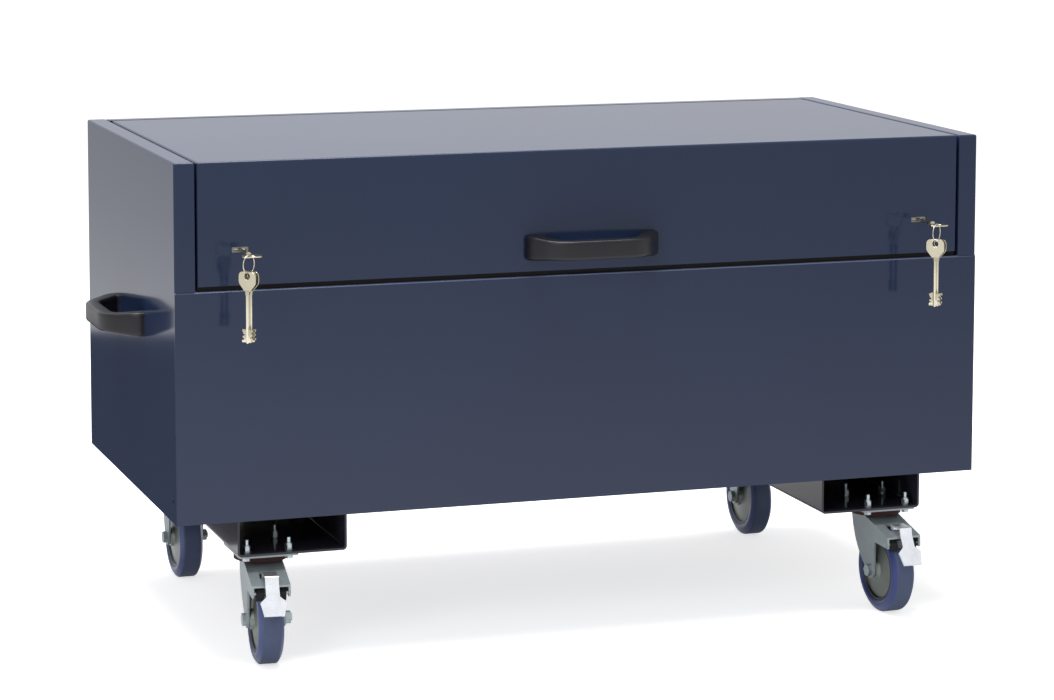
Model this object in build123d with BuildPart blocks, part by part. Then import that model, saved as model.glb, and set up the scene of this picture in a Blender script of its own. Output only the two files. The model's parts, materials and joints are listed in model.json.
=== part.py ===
"""Rolling jobsite security box: a lockable steel chest on two skids with four casters.

Millimetres. +X is right, +Y is towards the back and +Z is up. The origin lies on the floor,
under the middle of the whole box.
"""

from build123d import *

import os
from math import atan2, cos, degrees, hypot, radians, sin

os.makedirs("parts", exist_ok=True)

# Carcass and lid
body_width = 1200
body_depth = 600
body_height = 500
sheet = 2
bend = 3
cheek_width = 28.5
lid_gap = 3.5
rail_depth = 22
cheek_return_height = 36
cheek_return_depth = 30
front_panel_height = 322
front_flange = 25
front_lip = 12
flap_gap = 7
lid_side_flange = 36
lid_rear_flange = 25
flap_return = 20
flap_side_return = 30
floor_edge = 25
drain_radius = 2.5
drain_inset = 21
seal_width = 12
seal_gap = 0.3
rib_width = 44
rib_crown = 24
rib_height = 20
rib_sheet = 1.2
rib_spread = 560
rib_margin = 45

# Skids and casters
skid_height = 50
skid_width = 156
skid_sheet = 3
skid_bend = 6
skid_inset = 85
caster_height = 155
caster_inset_x = 131
caster_inset_y = 54.5
plate_x = 85
plate_y = 105
plate_thick = 3
plate_corner = 8
hole_pitch_x = 60
hole_pitch_y = 80
bolt_radius = 3
bolt_hole_radius = 3.3
bolt_flats = 10
bolt_head = 4
bolt_nut = 6.4
bolt_collar = 2
bolt_tip = 8
washer_radius = 6
washer_thick = 1.6

# Wheels
wheel_radius = 62.5
tyre_width = 36
tread_width = 25
tyre_inner_radius = 46
shoulder_radius = 54
bead_rise = 3
rim_width = 32
rim_band = 4
rim_web = 8
hub_radius = 14
hub_width = 44
web_overlap = 1
cover_radius = 40
cover_thick = 1.5
cover_rim_offset = 12
cover_hub_offset = 16
bearing_radius = 11
bearing_width = 8
bearing_span = 46
axle_radius = 5
running_gap = 0.05

# Caster forks
trail = 38
swivel_left = -5
swivel_right = 3
crown_drop = 14
crown_thick = 4
crown_back = 30
crown_front = 19
crown_width = 54
leg_inner = 24
leg_thick = 3
leg_end_radius = 12
heel_drop = 30
hood_reach = 92
hood_edge_drop = 33
hood_thick = 3
skirt_drop = 47
skirt_thick = 3
slot_back = 52
slot_front = 73
slot_width = 24
king_radius = 6
king_flats = 19
king_nut = 8
race_radius = 33
race_wall = 3
race_ceiling_drop = 7.6
race_drop = 11.5
seal_radius = 38
dust_seal_drop = 13.6
ball_radius = 3
ball_track_radius = 25
ball_count = 16
cage_radius = 1.2
axle_flats = 16
axle_head = 6
axle_nut = 8
axle_thread = 2
rear_leg_width = 70

# Brake
pin_orbit = 69
pin_angle = 44
pin_radius = 2.5
pin_proud = 1
shoe_gap = 1.5
shoe_thick = 9
shoe_from = 36
shoe_to = 50
shoe_slant = 5
shoe_outer = 21
pedal_thick = 2.5
neck_width = 19
lug_thick = 2.5
lug_orbit = 65
lug_spread = 4
paddle_width = 36
paddle_tip_width = 28
paddle_tuck = 1
hook_drop = 19
hook_overhang = 5
hook_round = 3
paddle_shoulder_reach = 108
paddle_shoulder_drop = 46
paddle_end_reach = 122
paddle_end_drop = 69

# Handles
handle_length = 198
handle_reach = 56
handle_bar = 132
handle_thick = 21
handle_height = 27
handle_foot_height = 35
handle_foot_length = 26
handle_foot_thick = 9
handle_inner_foot = 74
handle_round = 6
lid_handle_rise = 34
side_handle_height = 247
handle_bolt_span = 178
handle_bolt_radius = 3
handle_bolt_depth = 14
handle_washer_radius = 7

# Locks and keys
lock_inset = 92
keyhole_rise = 49
keyhole_width = 24
keyhole_slot = 8
lock_width = 60
lock_below = 18
lock_above = 24
lock_depth = 28
lock_wall = 1.5
lock_bolt_size = 12
lock_bolt_lift = 9.5
lock_bolt_back = 8
lock_bolt_length = 49
lock_bolt_start = 5
lock_bolt_chamfer = 1
lock_throw = 20
lock_slot_gap = 0.3
keep_gap = 1
key_length = 98
key_reach = 74
bow_half_width = 14
bow_top_width = 20
bow_corner = 4
bow_side = 16.5
bow_height = 29
bow_round = 2
bow_thick = 1.6
key_hole_radius = 4.8
key_hole_edge = 6.5
shaft_radius = 2.25
shaft_gap = 0.35
collar_radius = 3.4
collar_length = 4
bit_length = 18
bit_half = 8.5
bit_thick = 2.4
bit_notch = 2
bit_notches = ((-1, 0.25), (-1, 0.65), (1, 0.4), (1, 0.8))
ring_radius = 12.5
ring_wire = 0.7
ring_lean = 40
ring_heading = 50
spare_hang = 3.6
spare_pitch = 7.2

# Hinge pins
hinge_from_rear = 60.5
hinge_drop = 18
pin_shank_radius = 6
pin_head_radius = 10
pin_head = 4
bush_radius = 9
bush_flange_radius = 12
bush_inward = 6
bush_face_gap = 0.2

# Gas struts
strut_inset = 45
strut_body_ahead = 260
strut_body_drop = 170
strut_lid_ahead = 80
strut_lid_drop = 10
strut_radius = 9
strut_wall = 1.5
strut_end = 14
strut_bare = 36
rod_radius = 4
eye_radius = 8
eye_thick = 10
stud_radius = 4
stud_cap_radius = 7
stud_collar_radius = 5
stud_gap = 0.3
piston_length = 12
rod_inside = 140
bracket_size = 40
bracket_height = 56

# Levels and edges that follow from the sizes
half_width = body_width / 2
body_bottom = caster_height + skid_height
body_top = body_bottom + body_height
lean_x = cos(radians(ring_heading))
lean_y = sin(radians(ring_heading))
key_hole_reach = key_reach - key_hole_edge
bunch_out = ring_radius * sin(radians(ring_lean)) * lean_y
ring_out = ring_radius * lean_y + ring_wire
spare_out = bow_half_width * lean_x + (spare_pitch + bow_thick) / 2 * lean_y
front_reach = key_hole_reach + bunch_out + max(ring_out, spare_out)
rear_reach = max(wheel_radius - caster_inset_y, 0)
front = -(body_depth + rear_reach - front_reach) / 2
rear = front + body_depth
cheek_inner = half_width - cheek_width
lid_half = cheek_inner - lid_gap
lid_rear = rear - rail_depth - lid_gap
front_panel_top = body_bottom + front_panel_height
flap_bottom = front_panel_top + flap_gap
hinge_y = rear - hinge_from_rear
hinge_z = body_top - hinge_drop
lock_x = half_width - lock_inset
strut_x = half_width - strut_inset
keyhole_z = flap_bottom + keyhole_rise
caster_x = half_width - caster_inset_x
front_caster_y = front + caster_inset_y
rear_caster_y = rear - caster_inset_y
fork_face = leg_inner + leg_thick
crown_top = caster_height - crown_drop
hood_edge_height = caster_height - hood_edge_drop
skirt_low = caster_height - skirt_drop
race_ceiling = caster_height - race_ceiling_drop
race_low = caster_height - race_drop
dust_seal_low = caster_height - dust_seal_drop
hook_top = caster_height - hook_drop
paddle_shoulder = (paddle_shoulder_reach, caster_height - paddle_shoulder_drop)
paddle_end = (paddle_end_reach, caster_height - paddle_end_drop)


def slab(x, y, z, mode=Mode.ADD):
    """Box between two opposite corners, each axis given as a pair of limits."""
    with Locations((sum(x) / 2, sum(y) / 2, sum(z) / 2)):
        Box(abs(x[1] - x[0]), abs(y[1] - y[0]), abs(z[1] - z[0]), mode=mode)


def rod(axis, at, span, radius, mode=Mode.ADD):
    """Cylinder along X, Y or Z through a point given by its two other coordinates."""
    middle, length = sum(span) / 2, abs(span[1] - span[0])
    if axis == "X":
        place, turn = (middle, at[0], at[1]), (0, 90, 0)
    elif axis == "Y":
        place, turn = (at[0], middle, at[1]), (90, 0, 0)
    else:
        place, turn = (at[0], at[1], middle), (0, 0, 0)
    with Locations(Location(place, turn)):
        Cylinder(radius, length, mode=mode)


def keep(name, piece):
    """Labels one finished sub-part and writes its file."""
    piece.label = name
    export_step(piece, f"parts/{name}.step")


def lock_slot(side):
    """Cuts the way of one lock bolt through the sheets at one side."""
    low = keyhole_z + lock_bolt_lift
    deep = front + sheet + lock_bolt_back
    slab(
        (side * (lid_half - 2 * sheet), side * (cheek_inner + 2 * sheet)),
        (deep - keep_gap, deep + lock_bolt_size + keep_gap),
        (low - keep_gap, low + lock_bolt_size + keep_gap),
        Mode.SUBTRACT,
    )


# End panels: outer wall with a folded cheek round its top and its upper front edge
for name, side in (("end_panel_left", -1), ("end_panel_right", 1)):
    with BuildPart() as end_panel:
        slab((side * cheek_inner, side * half_width), (front, rear), (body_bottom, body_top))
        outer_edge = end_panel.edges().filter_by(Axis.Y).group_by(Axis.Z)[-1]
        corner_edges = end_panel.edges().group_by(Axis.Y)[0].filter_by(Plane.XZ)
        top_edges = outer_edge + corner_edges.group_by(Axis.Z)[-1]
        upright = corner_edges.filter_by(Axis.Z).sort_by(Axis.X)[-1 if side > 0 else 0]
        fillet(top_edges.filter_by(Axis.X) + ShapeList([upright]) + outer_edge, bend)
        offset(amount=-sheet, openings=end_panel.faces().sort_by(Axis.Z)[0])
        inner = side * (half_width - sheet)
        slab((side * cheek_inner, inner), (rear - sheet, rear), (body_bottom, body_top - sheet),
             Mode.SUBTRACT)
        slab((side * cheek_inner, inner), (front + cheek_return_depth, rear),
             (body_bottom, body_top - cheek_return_height), Mode.SUBTRACT)
        slab((side * cheek_inner, inner), (front + sheet, rear),
             (body_bottom, front_panel_top), Mode.SUBTRACT)
        slab((side * cheek_inner, side * half_width), (front, front + sheet),
             (body_bottom, front_panel_top), Mode.SUBTRACT)
        lock_slot(side)
        rod("X", (hinge_y, hinge_z), (side * cheek_inner, side * (cheek_inner + sheet)),
            pin_shank_radius + running_gap, Mode.SUBTRACT)
        for y in (front + drain_inset, rear - drain_inset):
            rod("X", (y, body_bottom + floor_edge + drain_radius + sheet), (inner, side * half_width),
                drain_radius, Mode.SUBTRACT)
        for y in (-handle_bolt_span / 2, handle_bolt_span / 2):
            rod("X", ((front + rear) / 2 + y, body_bottom + side_handle_height),
                (inner, side * half_width), handle_bolt_radius + running_gap, Mode.SUBTRACT)
    keep(name, end_panel.part)

# Front panel: wall with its top edge folded in and down
with BuildPart() as front_panel:
    with BuildSketch(Plane.YZ.offset(-(half_width - sheet))):
        with BuildLine():
            FilletPolyline(
                (front, body_bottom),
                (front, front_panel_top),
                (front + front_flange, front_panel_top),
                (front + front_flange, front_panel_top - front_lip),
                radius=bend,
            )
            offset(amount=sheet, side=Side.RIGHT)
        make_face()
    extrude(amount=body_width - 2 * sheet)
    for side in (-1, 1):
        slab((side * (half_width - sheet), side * half_width), (front, front + sheet),
             (body_bottom, front_panel_top))
keep("front_panel", front_panel.part)

# Rear panel: wall between the end panels, with the top rail folded forward
with BuildPart() as rear_panel:
    with BuildSketch(Plane.YZ.offset(-cheek_inner)):
        with BuildLine():
            FilletPolyline(
                (rear, body_bottom),
                (rear, body_top),
                (rear - rail_depth, body_top),
                radius=bend,
            )
            offset(amount=sheet, side=Side.LEFT)
        make_face()
    extrude(amount=2 * cheek_inner)
    for side in (-1, 1):
        slab((side * cheek_inner, side * (half_width - sheet)), (rear - sheet, rear),
             (body_bottom, body_top - sheet))
keep("rear_panel", rear_panel.part)

# Floor pan: a shallow tray inside the four walls
with BuildPart() as floor_pan:
    slab((-(half_width - sheet), half_width - sheet), (front + sheet, rear - sheet),
         (body_bottom, body_bottom + floor_edge))
    offset(amount=-sheet, openings=floor_pan.faces().sort_by(Axis.Z)[-1])
keep("floor_pan", floor_pan.part)

# Skids: open-topped channels under the floor, drilled for the caster bolts
for name, side in (("skid_left", -1), ("skid_right", 1)):
    with BuildPart() as skid:
        outer = half_width - skid_inset
        with BuildSketch(Plane.XZ.offset(-front)):
            with BuildLine():
                FilletPolyline(
                    (side * outer, body_bottom),
                    (side * outer, caster_height),
                    (side * (outer - skid_width), caster_height),
                    (side * (outer - skid_width), body_bottom),
                    radius=skid_bend,
                )
                offset(amount=skid_sheet, side=Side.LEFT if side < 0 else Side.RIGHT)
            make_face()
        extrude(amount=-body_depth)
        for y in (front_caster_y, rear_caster_y):
            with Locations((side * caster_x, y, caster_height + skid_sheet / 2)):
                with GridLocations(hole_pitch_x, hole_pitch_y, 2, 2):
                    Cylinder(bolt_hole_radius, 3 * skid_sheet, mode=Mode.SUBTRACT)
    keep(name, skid.part)

# Lid seal: foam strip on the folded front edge
with BuildPart() as lid_seal:
    slab((-(cheek_inner - lid_gap), cheek_inner - lid_gap),
         (front + bend + sheet, front + bend + sheet + seal_width),
         (front_panel_top, flap_bottom - seal_gap))
keep("lid_seal", lid_seal.part)

# Lid shell: top, deep front flap and folded edges, all one sheet
with BuildPart() as lid_shell:
    slab((-lid_half, lid_half), (front, lid_rear), (flap_bottom, body_top))
    fillet(lid_shell.edges().group_by(Axis.Z)[-1]
           + lid_shell.edges().filter_by(Axis.Z).group_by(Axis.Y)[0], bend)
    offset(amount=-sheet, openings=lid_shell.faces().sort_by(Axis.Z)[0])
    for side in (-1, 1):
        slab((side * (lid_half - sheet), side * lid_half), (front + flap_side_return, lid_rear),
             (flap_bottom, body_top - lid_side_flange), Mode.SUBTRACT)
    slab((-lid_half, lid_half), (lid_rear - sheet, lid_rear),
         (flap_bottom, body_top - lid_rear_flange), Mode.SUBTRACT)
    slab((-(lid_half - sheet), lid_half - sheet), (front + sheet / 2, front + flap_return),
         (flap_bottom, flap_bottom + sheet))
    for side in (-1, 1):
        lock_slot(side)
        slab((side * lock_x - keyhole_width / 2, side * lock_x + keyhole_width / 2),
             (front, front + sheet),
             (keyhole_z - keyhole_slot / 2, keyhole_z + keyhole_slot / 2), Mode.SUBTRACT)
        rod("X", (hinge_y, hinge_z), (side * (lid_half - sheet), side * lid_half), bush_radius,
            Mode.SUBTRACT)
        rod("Y", (side * handle_bolt_span / 2, flap_bottom + lid_handle_rise),
            (front, front + sheet), handle_bolt_radius + running_gap, Mode.SUBTRACT)
keep("lid_shell", lid_shell.part)

# Lid ribs: two hat sections under the top
with BuildPart() as lid_ribs:
    rib_top = body_top - sheet
    rib_ends = (front + rib_margin, lid_rear - rib_margin)
    for x in (-rib_spread / 2, rib_spread / 2):
        with BuildSketch(Plane.XZ.offset(-rib_ends[0])):
            with BuildLine():
                Polyline(
                    (x - rib_width / 2 - rib_crown / 2, rib_top),
                    (x - rib_width / 2, rib_top),
                    (x - rib_crown / 2, rib_top - rib_height),
                    (x + rib_crown / 2, rib_top - rib_height),
                    (x + rib_width / 2, rib_top),
                    (x + rib_width / 2 + rib_crown / 2, rib_top),
                )
                offset(amount=rib_sheet, side=Side.RIGHT)
            make_face()
        extrude(amount=-(rib_ends[1] - rib_ends[0]))
keep("lid_ribs", lid_ribs.part)


def bow_handle(plane):
    """Moulded bow handle on a plane whose X runs along it and whose Y points outwards."""
    with BuildPart() as handle:
        with BuildSketch(plane):
            with BuildLine():
                Polyline(
                    (-handle_length / 2, 0),
                    (-handle_length / 2, handle_foot_thick),
                    (-handle_bar / 2, handle_reach),
                    (handle_bar / 2, handle_reach),
                    (handle_length / 2, handle_foot_thick),
                    (handle_length / 2, 0),
                    (handle_inner_foot, 0),
                    (handle_bar / 2 - handle_thick / 2, handle_reach - handle_thick),
                    (-handle_bar / 2 + handle_thick / 2, handle_reach - handle_thick),
                    (-handle_inner_foot, 0),
                    close=True,
                )
            make_face()
        extrude(amount=handle_height / 2, both=True)
        up = plane.z_dir
        long_edges = handle.edges().filter_by(lambda edge: abs(edge.tangent_at(0.5).dot(up)) < 0.1)
        fillet(long_edges.filter_by(lambda edge: abs((edge.center() - plane.origin).dot(plane.y_dir))
                                    > handle_thick), handle_round)
        with BuildSketch(plane.offset(-handle_foot_height / 2)):
            for x in (-1, 1):
                with Locations((x * (handle_length - handle_foot_length) / 2, handle_foot_thick / 2)):
                    Rectangle(handle_foot_length, handle_foot_thick)
        extrude(amount=handle_foot_height)
        for x in (-1, 1):
            hole = plane.from_local_coords(Vector(x * handle_bolt_span / 2, handle_bolt_depth / 2, 0))
            with Locations(Plane(origin=hole, z_dir=plane.y_dir).location):
                Cylinder(handle_bolt_radius + running_gap, handle_bolt_depth, mode=Mode.SUBTRACT)
    return handle.part


middle_y = (front + rear) / 2
side_handle_z = body_bottom + side_handle_height
lid_handle_z = flap_bottom + lid_handle_rise
keep("lid_handle", bow_handle(Plane((0, front, lid_handle_z), (1, 0, 0), (0, 0, -1))))
for name, side in (("side_handle_left", -1), ("side_handle_right", 1)):
    keep(name, bow_handle(Plane((side * half_width, middle_y, side_handle_z), (0, side, 0), (0, 0, -1))))


def handle_bolt(wall_inside, outward):
    """Bolt through a handle foot, with its washer and head on the inside of the wall."""
    shank = sheet + handle_bolt_depth
    inside = Plane(origin=wall_inside, z_dir=outward)
    with Locations(inside.offset(shank / 2).location):
        Cylinder(handle_bolt_radius, shank)
    with Locations(inside.offset(-washer_thick / 2).location):
        Cylinder(handle_washer_radius, washer_thick)
    with Locations(inside.offset(-washer_thick - bolt_head / 2).location):
        Cylinder(bolt_flats / 2, bolt_head)


with BuildPart() as side_handle_bolts:
    for side in (-1, 1):
        for y in (-handle_bolt_span / 2, handle_bolt_span / 2):
            handle_bolt((side * (half_width - sheet), middle_y + y, side_handle_z), (side, 0, 0))
keep("side_handle_bolts", side_handle_bolts.part)

with BuildPart() as lid_handle_bolts:
    for x in (-handle_bolt_span / 2, handle_bolt_span / 2):
        handle_bolt((x, front + sheet, lid_handle_z), (0, -1, 0))
keep("lid_handle_bolts", lid_handle_bolts.part)

# Hinge pins, fixed in the cheeks, and the bushes that turn on them
with BuildPart() as hinge_pins:
    for side in (-1, 1):
        pin_tip = lid_half - sheet - bush_inward
        pin_seat = cheek_inner + sheet
        rod("X", (hinge_y, hinge_z), (side * pin_tip, side * (pin_seat + pin_head)), pin_shank_radius)
        rod("X", (hinge_y, hinge_z), (side * pin_seat, side * (pin_seat + pin_head)), pin_head_radius)
keep("hinge_pins", hinge_pins.part)

with BuildPart() as hinge_bushes:
    for side in (-1, 1):
        bush_face = cheek_inner - bush_face_gap
        bush_tip = lid_half - sheet - bush_inward
        rod("X", (hinge_y, hinge_z), (side * bush_tip, side * bush_face), bush_radius)
        rod("X", (hinge_y, hinge_z), (side * lid_half, side * bush_face), bush_flange_radius)
        rod("X", (hinge_y, hinge_z), (side * bush_tip, side * bush_face),
            pin_shank_radius + running_gap, Mode.SUBTRACT)
keep("hinge_bushes", hinge_bushes.part)

# Lock cases behind the flap, and the bolts that they throw outwards into the cheeks
bolt_low = keyhole_z + lock_bolt_lift
bolt_deep = front + sheet + lock_bolt_back
for name, side in (("lock_case_left", -1), ("lock_case_right", 1)):
    with BuildPart() as lock_case:
        back = front + sheet + lock_depth
        slab((side * lock_x - lock_width / 2, side * lock_x + lock_width / 2), (front + sheet, back),
             (keyhole_z - lock_below, keyhole_z + lock_above))
        slab((side * lock_x - lock_width / 2 + lock_wall, side * lock_x + lock_width / 2 - lock_wall),
             (front + sheet + lock_wall, back - lock_wall),
             (keyhole_z - lock_below + lock_wall, keyhole_z + lock_above - lock_wall), Mode.SUBTRACT)
        rod("Y", (side * lock_x, keyhole_z), (front + sheet, front + sheet + lock_wall),
            shaft_radius + shaft_gap, Mode.SUBTRACT)
        slab((side * lock_x - bit_half - shaft_gap, side * lock_x + bit_half + shaft_gap),
             (front + sheet, front + sheet + lock_wall),
             (keyhole_z - bit_thick / 2 - shaft_gap, keyhole_z + bit_thick / 2 + shaft_gap), Mode.SUBTRACT)
        slab((side * (lock_x + lock_width / 2 - lock_wall), side * (lock_x + lock_width / 2)),
             (bolt_deep - lock_slot_gap, bolt_deep + lock_bolt_size + lock_slot_gap),
             (bolt_low - lock_slot_gap, bolt_low + lock_bolt_size + lock_slot_gap), Mode.SUBTRACT)
    keep(name, lock_case.part)

for name, side in (("lock_bolt_left", -1), ("lock_bolt_right", 1)):
    with BuildPart() as lock_bolt:
        start = lock_x + lock_bolt_start
        slab((side * start, side * (start + lock_bolt_length)), (bolt_deep, bolt_deep + lock_bolt_size),
             (bolt_low, bolt_low + lock_bolt_size))
        chamfer(lock_bolt.faces().sort_by(Axis.X)[-1 if side > 0 else 0].edges(),
                lock_bolt_chamfer)
    keep(name, lock_bolt.part)


def key(hole):
    """Double-bitted key on a plane at the hole of its bow, with its shaft along the plane's -Y."""
    tip = key_hole_edge - key_length
    neck = key_hole_edge - bow_height
    with BuildPart() as piece:
        with BuildSketch(hole.offset(-bow_thick / 2)):
            with BuildLine():
                FilletPolyline(
                    (-bow_top_width / 2, key_hole_edge),
                    (bow_top_width / 2, key_hole_edge),
                    (bow_half_width, key_hole_edge - bow_corner),
                    (bow_half_width, key_hole_edge - bow_side),
                    (collar_radius, neck),
                    (-collar_radius, neck),
                    (-bow_half_width, key_hole_edge - bow_side),
                    (-bow_half_width, key_hole_edge - bow_corner),
                    close=True,
                    radius=bow_round,
                )
            make_face()
            Circle(key_hole_radius, mode=Mode.SUBTRACT)
        extrude(amount=bow_thick)
        shaft_plane = Plane(origin=hole.from_local_coords(Vector(0, neck + collar_length, 0)),
                            z_dir=-hole.y_dir)
        with BuildSketch(shaft_plane):
            Circle(shaft_radius)
        extrude(amount=neck + collar_length - tip)
        with BuildSketch(shaft_plane.offset(collar_length - bow_round)):
            Circle(collar_radius)
        extrude(amount=collar_length)
        with BuildSketch(hole.offset(-bit_thick / 2)):
            with Locations((0, tip + bit_length / 2)):
                Rectangle(2 * bit_half, bit_length)
            for x, y in bit_notches:
                with Locations((x * bit_half, tip + y * bit_length)):
                    Rectangle(2 * bit_notch, bit_notch, mode=Mode.SUBTRACT)
        extrude(amount=bit_thick)
    return piece.part


bunch_dir = Vector(-lean_x, -lean_y, 0)
ring_drop = ring_radius * cos(radians(ring_lean))
for name, side in (("left", -1), ("right", 1)):
    hole_at = Vector(side * lock_x, front - key_hole_reach, keyhole_z)
    with BuildPart() as turning_key:
        add(key(Plane(hole_at, (1, 0, 0), (0, 0, -1))))
    keep(f"key_{name}", turning_key.part)

    ring_centre = hole_at + bunch_dir * (ring_radius * sin(radians(ring_lean))) - Vector(0, 0, ring_drop)
    spare_rise = ring_radius - (ring_radius**2 - (spare_pitch / 2) ** 2) ** 0.5
    ring_low = ring_centre - Vector(0, 0, ring_radius + spare_hang - spare_rise)
    sideways = Vector(0, 0, 1).cross(bunch_dir)
    with BuildPart() as spare_keys:
        with Locations(Plane(ring_centre, bunch_dir, sideways).location):
            Torus(ring_radius, ring_wire)
        for step in (-spare_pitch / 2, spare_pitch / 2):
            add(key(Plane(ring_low + bunch_dir * step, sideways, bunch_dir)))
    keep(f"spare_keys_{name}", spare_keys.part)

# Gas struts: cylinder on the carcass, rod towards the stud on the lid
body_pivot = (hinge_y - strut_body_ahead, hinge_z - strut_body_drop)
lid_pivot = (hinge_y - strut_lid_ahead, hinge_z - strut_lid_drop)
strut_length = hypot(lid_pivot[0] - body_pivot[0], lid_pivot[1] - body_pivot[1])
strut_angle = degrees(atan2(lid_pivot[1] - body_pivot[1], lid_pivot[0] - body_pivot[0]))
for name, side in (("left", -1), ("right", 1)):
    along = Plane(Vector(side * strut_x, *body_pivot), (1, 0, 0),
                  (0, cos(radians(strut_angle)), sin(radians(strut_angle))))
    tube_end = strut_length - strut_bare
    eye_span = (side * (strut_x - eye_thick / 2), side * (strut_x + eye_thick / 2))
    with BuildPart() as cylinder:
        with BuildSketch(along.offset(strut_end)):
            Circle(strut_radius)
        extrude(amount=tube_end - strut_end)
        with BuildSketch(along.offset(strut_end + strut_wall)):
            Circle(strut_radius - strut_wall)
        extrude(amount=tube_end - strut_end - 2 * strut_wall, mode=Mode.SUBTRACT)
        with BuildSketch(along.offset(tube_end - 2 * strut_wall)):
            Circle(rod_radius + running_gap)
        extrude(amount=3 * strut_wall, mode=Mode.SUBTRACT)
        with BuildSketch(along):
            Rectangle(eye_thick, 2 * rod_radius)
        extrude(amount=strut_end)
        rod("X", body_pivot, eye_span, eye_radius)
        rod("X", body_pivot, eye_span, stud_radius + running_gap, Mode.SUBTRACT)
    keep(f"strut_cylinder_{name}", cylinder.part)

    with BuildPart() as piston_rod:
        with BuildSketch(along.offset(strut_length - rod_inside - strut_bare)):
            Circle(rod_radius)
        extrude(amount=rod_inside + strut_bare)
        with BuildSketch(along.offset(strut_length - rod_inside - strut_bare)):
            Circle(strut_radius - strut_wall - 2 * running_gap)
        extrude(amount=piston_length)
        rod("X", lid_pivot, eye_span, eye_radius)
        rod("X", lid_pivot, eye_span, stud_radius + running_gap, Mode.SUBTRACT)
    keep(f"strut_rod_{name}", piston_rod.part)

with BuildPart() as strut_body_brackets:
    for side in (-1, 1):
        wall = half_width - sheet
        slab((side * (wall - sheet), side * wall),
             (body_pivot[0] - bracket_size / 2, body_pivot[0] + bracket_size / 2),
             (body_pivot[1] - bracket_height / 2, body_pivot[1] + bracket_height / 2))
        rod("X", body_pivot, (side * (strut_x + eye_thick / 2 + stud_gap), side * wall), eye_radius)
        rod("X", body_pivot, (side * (strut_x - eye_thick / 2 - 2 * sheet), side * wall), stud_radius)
        rod("X", body_pivot, (side * (strut_x - eye_thick / 2 - 2 * sheet),
                              side * (strut_x - eye_thick / 2 - stud_gap)), stud_cap_radius)
keep("strut_body_brackets", strut_body_brackets.part)

with BuildPart() as strut_lid_brackets:
    for side in (-1, 1):
        wall = lid_half - sheet
        slab((side * (wall - sheet), side * wall), (lid_pivot[0] - eye_radius, lid_pivot[0] + eye_radius),
             (lid_pivot[1] - eye_radius, lid_pivot[1] + 2 * eye_radius))
        rod("X", lid_pivot, (side * (strut_x + eye_thick / 2 + stud_gap), side * wall), stud_collar_radius)
keep("strut_lid_brackets", strut_lid_brackets.part)

# Caster bolts: head and washer under the plate, washer and lock nut inside the skid
plate_under = caster_height - plate_thick
skid_floor = caster_height + skid_sheet
nut_top = skid_floor + washer_thick + bolt_nut + bolt_collar
with BuildPart() as one_bolt:
    rod("Z", (0, 0), (plate_under - washer_thick - bolt_head, nut_top + bolt_tip), bolt_radius)
    rod("Z", (0, 0), (plate_under - washer_thick, plate_under), washer_radius)
    rod("Z", (0, 0), (skid_floor, skid_floor + washer_thick), washer_radius)
    rod("Z", (0, 0), (nut_top - bolt_collar, nut_top), bolt_flats / 2)
    for low, high in ((plate_under - washer_thick - bolt_head, plate_under - washer_thick),
                      (skid_floor + washer_thick, nut_top - bolt_collar)):
        with BuildSketch(Plane.XY.offset(low)):
            RegularPolygon(bolt_flats / 2, 6, major_radius=False)
        extrude(amount=high - low)

bolt_places = [
    (x * caster_x + i * hole_pitch_x / 2, y + j * hole_pitch_y / 2)
    for x in (-1, 1)
    for y in (front_caster_y, rear_caster_y)
    for i in (-1, 1)
    for j in (-1, 1)
]
with BuildPart() as caster_bolts:
    with Locations(*bolt_places):
        add(one_bolt.part)
keep("caster_bolts", caster_bolts.part)


def heading(angle):
    """Forward and sideways directions of a caster turned by an angle from straight ahead."""
    turn = radians(angle)
    return Vector(sin(turn), -cos(turn), 0), Vector(cos(turn), sin(turn), 0)


def side_plane(x, y, angle, shift=0):
    """Upright plane of a caster: X forward, Y up, shifted sideways along its axle."""
    forward, sideways = heading(angle)
    return Plane(Vector(x, y, 0) + sideways * shift, forward, -sideways)


def mounting_plate(x, y):
    """Flat top plate of a caster with its four bolt holes."""
    with BuildPart() as plate:
        with BuildSketch(Plane((x, y, caster_height - plate_thick))):
            RectangleRounded(plate_x, plate_y, plate_corner)
            with GridLocations(hole_pitch_x, hole_pitch_y, 2, 2):
                Circle(bolt_hole_radius, mode=Mode.SUBTRACT)
        extrude(amount=plate_thick)
    return plate.part


def axle_bolt(x, y, angle, ahead):
    """Axle bolt through a fork, with its hexagon head on one side and its nut on the other."""
    forward, sideways = heading(angle)
    centre = Vector(x, y, wheel_radius) + forward * ahead
    with BuildPart() as bolt:
        head = -fork_face - axle_head
        with BuildSketch(Plane(centre + sideways * head, forward, sideways)):
            Circle(axle_radius)
        extrude(amount=fork_face + axle_nut + axle_thread - head)
        for start, length in ((head, axle_head), (fork_face, axle_nut)):
            with BuildSketch(Plane(centre + sideways * start, forward, sideways)):
                RegularPolygon(axle_flats / 2, 6, major_radius=False)
            extrude(amount=length)
    return bolt.part


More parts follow.
